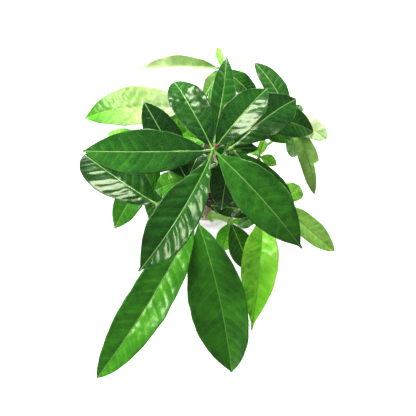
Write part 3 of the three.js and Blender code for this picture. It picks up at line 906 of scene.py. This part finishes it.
def stem_path(stem):
    """The braid's rule, as in the frame."""
    share = np.linspace(-STEM_BURIED / (STEM_TOP - SOIL_LEVEL), 1, STEM_RINGS)
    along = np.maximum(share, 0)
    eased = along - np.sin(2 * np.pi * along) / (4 * np.pi)
    phase = math.radians(BRAID_TOP_PHASE + 120 * stem) + 2 * np.pi * BRAID_TURNS * (eased - 1)
    return together(
        BRAID_HALF_WIDTH * np.sin(phase) + TRUNK_LEAN[0] * along,
        BRAID_HALF_DEPTH * np.sin(2 * phase) + TRUNK_LEAN[1] * along,
        SOIL_LEVEL + (STEM_TOP - SOIL_LEVEL) * share,
    )


def bark_unevenness(turn, at, seed):
    """What furrows and slow swells add to a stem's radius, as a share of it."""
    x, y = math.cos(turn), math.sin(turn)
    furrow = noise.fractal(Vector((x * 3.2, y * 3.2, at * 0.045 + seed * 7.3)), 0.9, 2.2, 4)
    swell = noise.noise(Vector((x, y, at * 0.03 + seed)))
    return FURROW_SHARE * furrow + SWELL_SHARE * swell


def add_woody(shape, path, radii, seed, scars, sides=36):
    """A stem with bark furrows, leaf-scar rings and a flat sawn end."""
    length = distances(path)
    turn = turns(sides)
    uneven_bark = np.array([[bark_unevenness(t, at, seed) for t in turn] for at in length])
    sizes = radii[:, None] * (1 + uneven_bark)
    for at in scars:
        above = length[:, None] - at
        sizes += SCAR_HEIGHT * bell(above, 0, SCAR_WIDTH) * (1 + 0.5 * np.sin(turn + at))
        sizes -= SCAR_GROOVE_DEPTH * bell(above, SCAR_GROOVE_UP, SCAR_GROOVE_WIDTH)
    sizes[-1] *= 0.965  # the edge of the cut is a little rounded

    heading = unit(path[-1] - path[-2])
    tangents = np.vstack([unit(np.gradient(path, axis=0)), [heading] * len(SAWN_END)])
    rings = np.vstack([path, *[path[-1] + heading * rise for _, rise in SAWN_END]])
    ends = [sizes[-1] * share for share, _ in SAWN_END]
    points, faces = tube(rings, np.vstack([sizes, ends]), sides, tangents)
    cut = np.zeros((len(rings), 3))
    cut[len(path):] = [(1, share, 0) for share, _ in SAWN_END]
    cut = per_ring(cut, sides)
    cut[-1, 1] = 0.0
    shape.add(points, faces, cut=cut)


def make_stem(stem, material):
    scars = [52 + 37 * k + dice.uniform(-6, 6) for k in range(6)]
    shape = Shape(cut=(0.0, 0.0, 0.0))
    radii = STEM_RADIUS * (1 - 0.1 * np.linspace(0, 1, STEM_RINGS))
    add_woody(shape, stem_path(stem), radii, stem + 1, scars)
    if stem == 0:
        radii = STUB_RADIUS * (0.85 + 0.15 * np.linspace(0, 1, STUB_RINGS))
        add_woody(shape, smooth_curve(STUB_ROUTE, STUB_RINGS), radii, 9, [18, 34])
    shape.piece(f"stem_{stem + 1}", material)


bark = bark_material()
for stem in range(3):
    make_stem(stem, bark)


# Green shoots.

SHOOTS = {  # route and radius
    "middle": ([[-3, -27, 272], [5, -34, 286], [4, -38, 312], [3, -42, 345]], 4.6),
    "right": ([[14, -31, 272], [25, -27, 286], [28, -26, 308], [32, -25, 338]], 4.6),
    "left": ([[-18, -15, 272], [-28, -8, 286], [-30, -3, 304], [-31, 2, 326]], 4.4),
}
SHOOT_NODES = (0.25, 0.42, 0.6, 0.76, 0.9)  # shares of the length where leaves have stood
NODE_SWELL, NODE_LENGTH = 0.55, 0.018
SCAR_UP, SCAR_LENGTH = 0.03, 0.008  # of the brown ring above each


def make_shoot(order, name, material):
    controls, radius = SHOOTS[name]
    count, sides = 70, 22
    path = smooth_curve(controls, count)
    t = np.linspace(0, 1, count)
    size = radius * (1 - 0.3 * t**2)
    scar = np.zeros_like(t)
    for at in SHOOT_NODES:
        size = size + NODE_SWELL * bell(t - at, 0.01 * order, NODE_LENGTH)
        scar = scar + 0.55 * bell(t - at - SCAR_UP, 0.01 * order, SCAR_LENGTH)
    shape = Shape(scar=(0.0, 0.0, 0.0))
    points, faces = tube(path, size, sides)
    shape.add(points, faces, scar=per_ring(together(np.clip(scar, 0, 1), 0.0, 0.0), sides))

    crown = path[-1] + unit(path[-1] - path[-2]) * 1.5
    shape.add(*lump(crown, (radius * 0.66, radius * 0.66, radius * 0.9), order + 20, 3))
    for k in range(3):  # buds
        turn = 2.1 * k + order
        beside = np.array([math.cos(turn) * 1.4, math.sin(turn) * 1.4, 3.0])
        shape.add(*lump(crown + beside, (1.1, 1.1, 2.8), order + 30 + k, 2))
    if name == "right":  # a swollen bud beside the top
        shape.add(*lump(crown + (-4.9, -1.0, 1.0), (3.2, 2.9, 3.2), order + 40, 3))
    shape.piece(f"shoot_{name}", material)


green_skin = shoot_material()
for order, name in enumerate(SHOOTS):
    make_shoot(order, name, green_skin)


# Pot.

POT_HEIGHT = 115.0
POT_FLOOR = 7
RIM_RADIUS = 62.0
FOOT_RADIUS = 45.0
WALL = 4.5
LIP, LIP_STEP = 13.0, 1.6  # height of the band under the rim, and how far it stands out
RIM_ROUND = 1.8


def pot_radius(z):
    return FOOT_RADIUS + (RIM_RADIUS - FOOT_RADIUS) * z / POT_HEIGHT


def rounded(corners):
    """Points (r, z) of a profile from its corners, each with r, z and how far its rounding reaches."""
    places = [np.array(corner[:2], float) for corner in corners]
    out = [places[0]]
    for before, here, after, corner in zip(places, places[1:], places[2:], corners[1:]):
        back, on = before - here, after - here
        cut = min(corner[2], 0.45 * np.linalg.norm(back), 0.45 * np.linalg.norm(on))
        out.extend(bowed(here + unit(back) * cut, here, here + unit(on) * cut, 6))
    out.append(places[-1])
    return out


def make_pot():
    lip_foot = POT_HEIGHT - LIP
    profile = rounded([
        (0, 0.9, 0),
        (FOOT_RADIUS - 9, 0.9, 1),
        (FOOT_RADIUS - 6.5, 0, 1),
        (FOOT_RADIUS - 2, 0, 1.2),
        (FOOT_RADIUS, 2.5, 2),
        (pot_radius(lip_foot) - LIP_STEP, lip_foot - 1.5, 1.4),
        (pot_radius(lip_foot), lip_foot, 1.4),
        (RIM_RADIUS, POT_HEIGHT - RIM_ROUND, 1.6),
        (RIM_RADIUS - RIM_ROUND / 2, POT_HEIGHT, 1.2),
        (RIM_RADIUS - WALL + RIM_ROUND / 2, POT_HEIGHT, 1.2),
        (RIM_RADIUS - WALL, POT_HEIGHT - RIM_ROUND, 1.6),
        (FOOT_RADIUS - WALL, POT_FLOOR + 3, 2),
        (FOOT_RADIUS - WALL - 3, POT_FLOOR, 2),
        (0, POT_FLOOR, 0),
    ])
    sides, waver = 180, 0.12  # the thrown clay isn't quite round
    rings = []
    for r, z in profile[1:-1]:
        swing = waver * np.sin(3 * turns(sides) + z * 0.05) * min(1.0, r / 30)
        rings.append(level_ring(r + swing, z, sides))
    shape = Shape()
    shape.add(*closed_body(rings, (0, 0, profile[0][1]), (0, 0, profile[-1][1])))
    shape.piece("pot", glaze_material())


make_pot()


# Soil.

SOIL_EDGE = 54.2  # radius of the soil's top, just clear of the pot's wall
SOIL_RINGS, SOIL_SIDES = 64, 150
SOIL_FOOT = [  # radius and height of its two lowest rings
    (FOOT_RADIUS - WALL - 4, POT_FLOOR + 0.4),
    (FOOT_RADIUS - WALL - 1, POT_FLOOR + 3.6),
]
CRUMBS = 420
GRIT_SHARE = 0.12


def soil_height(r):
    """The low mound of the soil, before its crumbs."""
    return SOIL_LEVEL + SOIL_CROWN * min(1.0, (SOIL_EDGE - r) / (0.6 * SOIL_EDGE))


def crumbly_point(r, turn):
    """A vertex of the soil's top, raised or sunk by its roughness."""
    spot = Vector((r * math.cos(turn), r * math.sin(turn), 0))
    rise = noise.fractal(spot * 0.16, 0.8, 2.1, 5) * 1.1 + abs(noise.noise(spot * 0.45)) * 1.6
    return spot.x, spot.y, soil_height(r) + rise * min(1.0, 0.35 + (SOIL_EDGE - r) / 6) - 0.8


def add_crumb(shape, seed):
    """A loose crumb, or a grain of white grit, somewhere on the soil."""
    r = SOIL_EDGE * 0.96 * math.sqrt(dice.random())
    turn = dice.uniform(0, 2 * math.pi)
    is_grit = dice.random() < GRIT_SHARE
    size = dice.uniform(0.7, 1.3) if is_grit else dice.uniform(0.8, 2.3)
    centre = (r * math.cos(turn), r * math.sin(turn), soil_height(r) + 0.2)
    radii = (size * dice.uniform(0.8, 1.7), size * dice.uniform(0.7, 1.2), size * 0.8)
    points, faces = lump(centre, radii, seed, 1, 0.45)
    shape.add(points, faces, crumb=(1.0 if is_grit else 0.0, dice.random(), 0.0))


def make_soil():
    rings = [level_ring(r, z, SOIL_SIDES) for r, z in SOIL_FOOT]
    for k in range(SOIL_RINGS):
        r = SOIL_EDGE * (1 - k / SOIL_RINGS)
        rings.append(np.array([crumbly_point(r, turn) for turn in turns(SOIL_SIDES)]))
    shape = Shape(crumb=(0.0, 0.0, 0.0))
    shape.add(*closed_body(rings, (0, 0, SOIL_FOOT[0][1]), (0, 0, SOIL_LEVEL + SOIL_CROWN)))
    for k in range(CRUMBS):
        add_crumb(shape, k)
    shape.piece("soil", soil_material())


make_soil()


# Studio, in metres.

CROWN = (0.0, -0.05, 0.35)
LIGHTS = {  # place, size and power
    "window_back": ((-0.35, 1.7, 1.55), (1.1, 0.8), 72),
    "window_left": ((-1.69, 0.16, 1.58), (0.8, 0.6), 32),
}
SKY_STRENGTH = 0.28
CAMERA_PLACE = (0.0015, -0.3305, 1.1867)
CAMERA_TILT = 15.0  # from straight down
CAMERA_LENS, CAMERA_SENSOR = 64.9, 36.0  # millimetres


def add_backdrop(flat, bend, height, sides=96):
    """A round floor that curves up into a wall all the way round."""
    profile = [(flat * k / 4, 0.0) for k in range(1, 5)]
    for a in np.linspace(0, math.pi / 2, 14)[1:]:
        profile.append((flat + bend * math.sin(a), bend * (1 - math.cos(a))))
    profile.append((flat + bend, height))
    rings = [level_ring(r, z, sides) for r, z in profile]
    points = np.concatenate([*rings, [[0, 0, 0]]])
    centre = len(points) - 1
    faces = grid_faces(len(rings), sides, True, flip=True)
    faces += [(centre, i, (i + 1) % sides) for i in range(sides)]
    smooth_object("floor", points, faces, floor_material())


def add_light(name, place, size, power):
    """A rectangular light that faces the crown."""
    data = bpy.data.lights.new(name, "AREA")
    data.shape = "RECTANGLE"
    data.size, data.size_y = size
    data.energy = power
    made = bpy.data.objects.new(name, data)
    made.location = place
    made.rotation_euler = (Vector(CROWN) - Vector(place)).to_track_quat("-Z", "Y").to_euler()
    bpy.context.scene.collection.objects.link(made)


def add_sky():
    world = bpy.data.worlds.new("studio")
    world.use_nodes = True
    background = world.node_tree.nodes["Background"]
    background.inputs["Color"].default_value = (1.0, 1.0, 1.0, 1.0)
    background.inputs["Strength"].default_value = SKY_STRENGTH
    bpy.context.scene.world = world


def add_camera():
    data = bpy.data.cameras.new("camera")
    data.lens = CAMERA_LENS
    data.sensor_width = CAMERA_SENSOR
    made = bpy.data.objects.new("camera", data)
    made.location = CAMERA_PLACE
    made.rotation_euler = (math.radians(CAMERA_TILT), 0.0, 0.0)
    bpy.context.scene.collection.objects.link(made)
    bpy.context.scene.camera = made


add_backdrop(flat=2.8, bend=0.9, height=2.6)
for name, (place, size, power) in LIGHTS.items():
    add_light(name, place, size, power)
add_sky()
add_camera()
bpy.context.scene.view_settings.view_transform = "Standard"
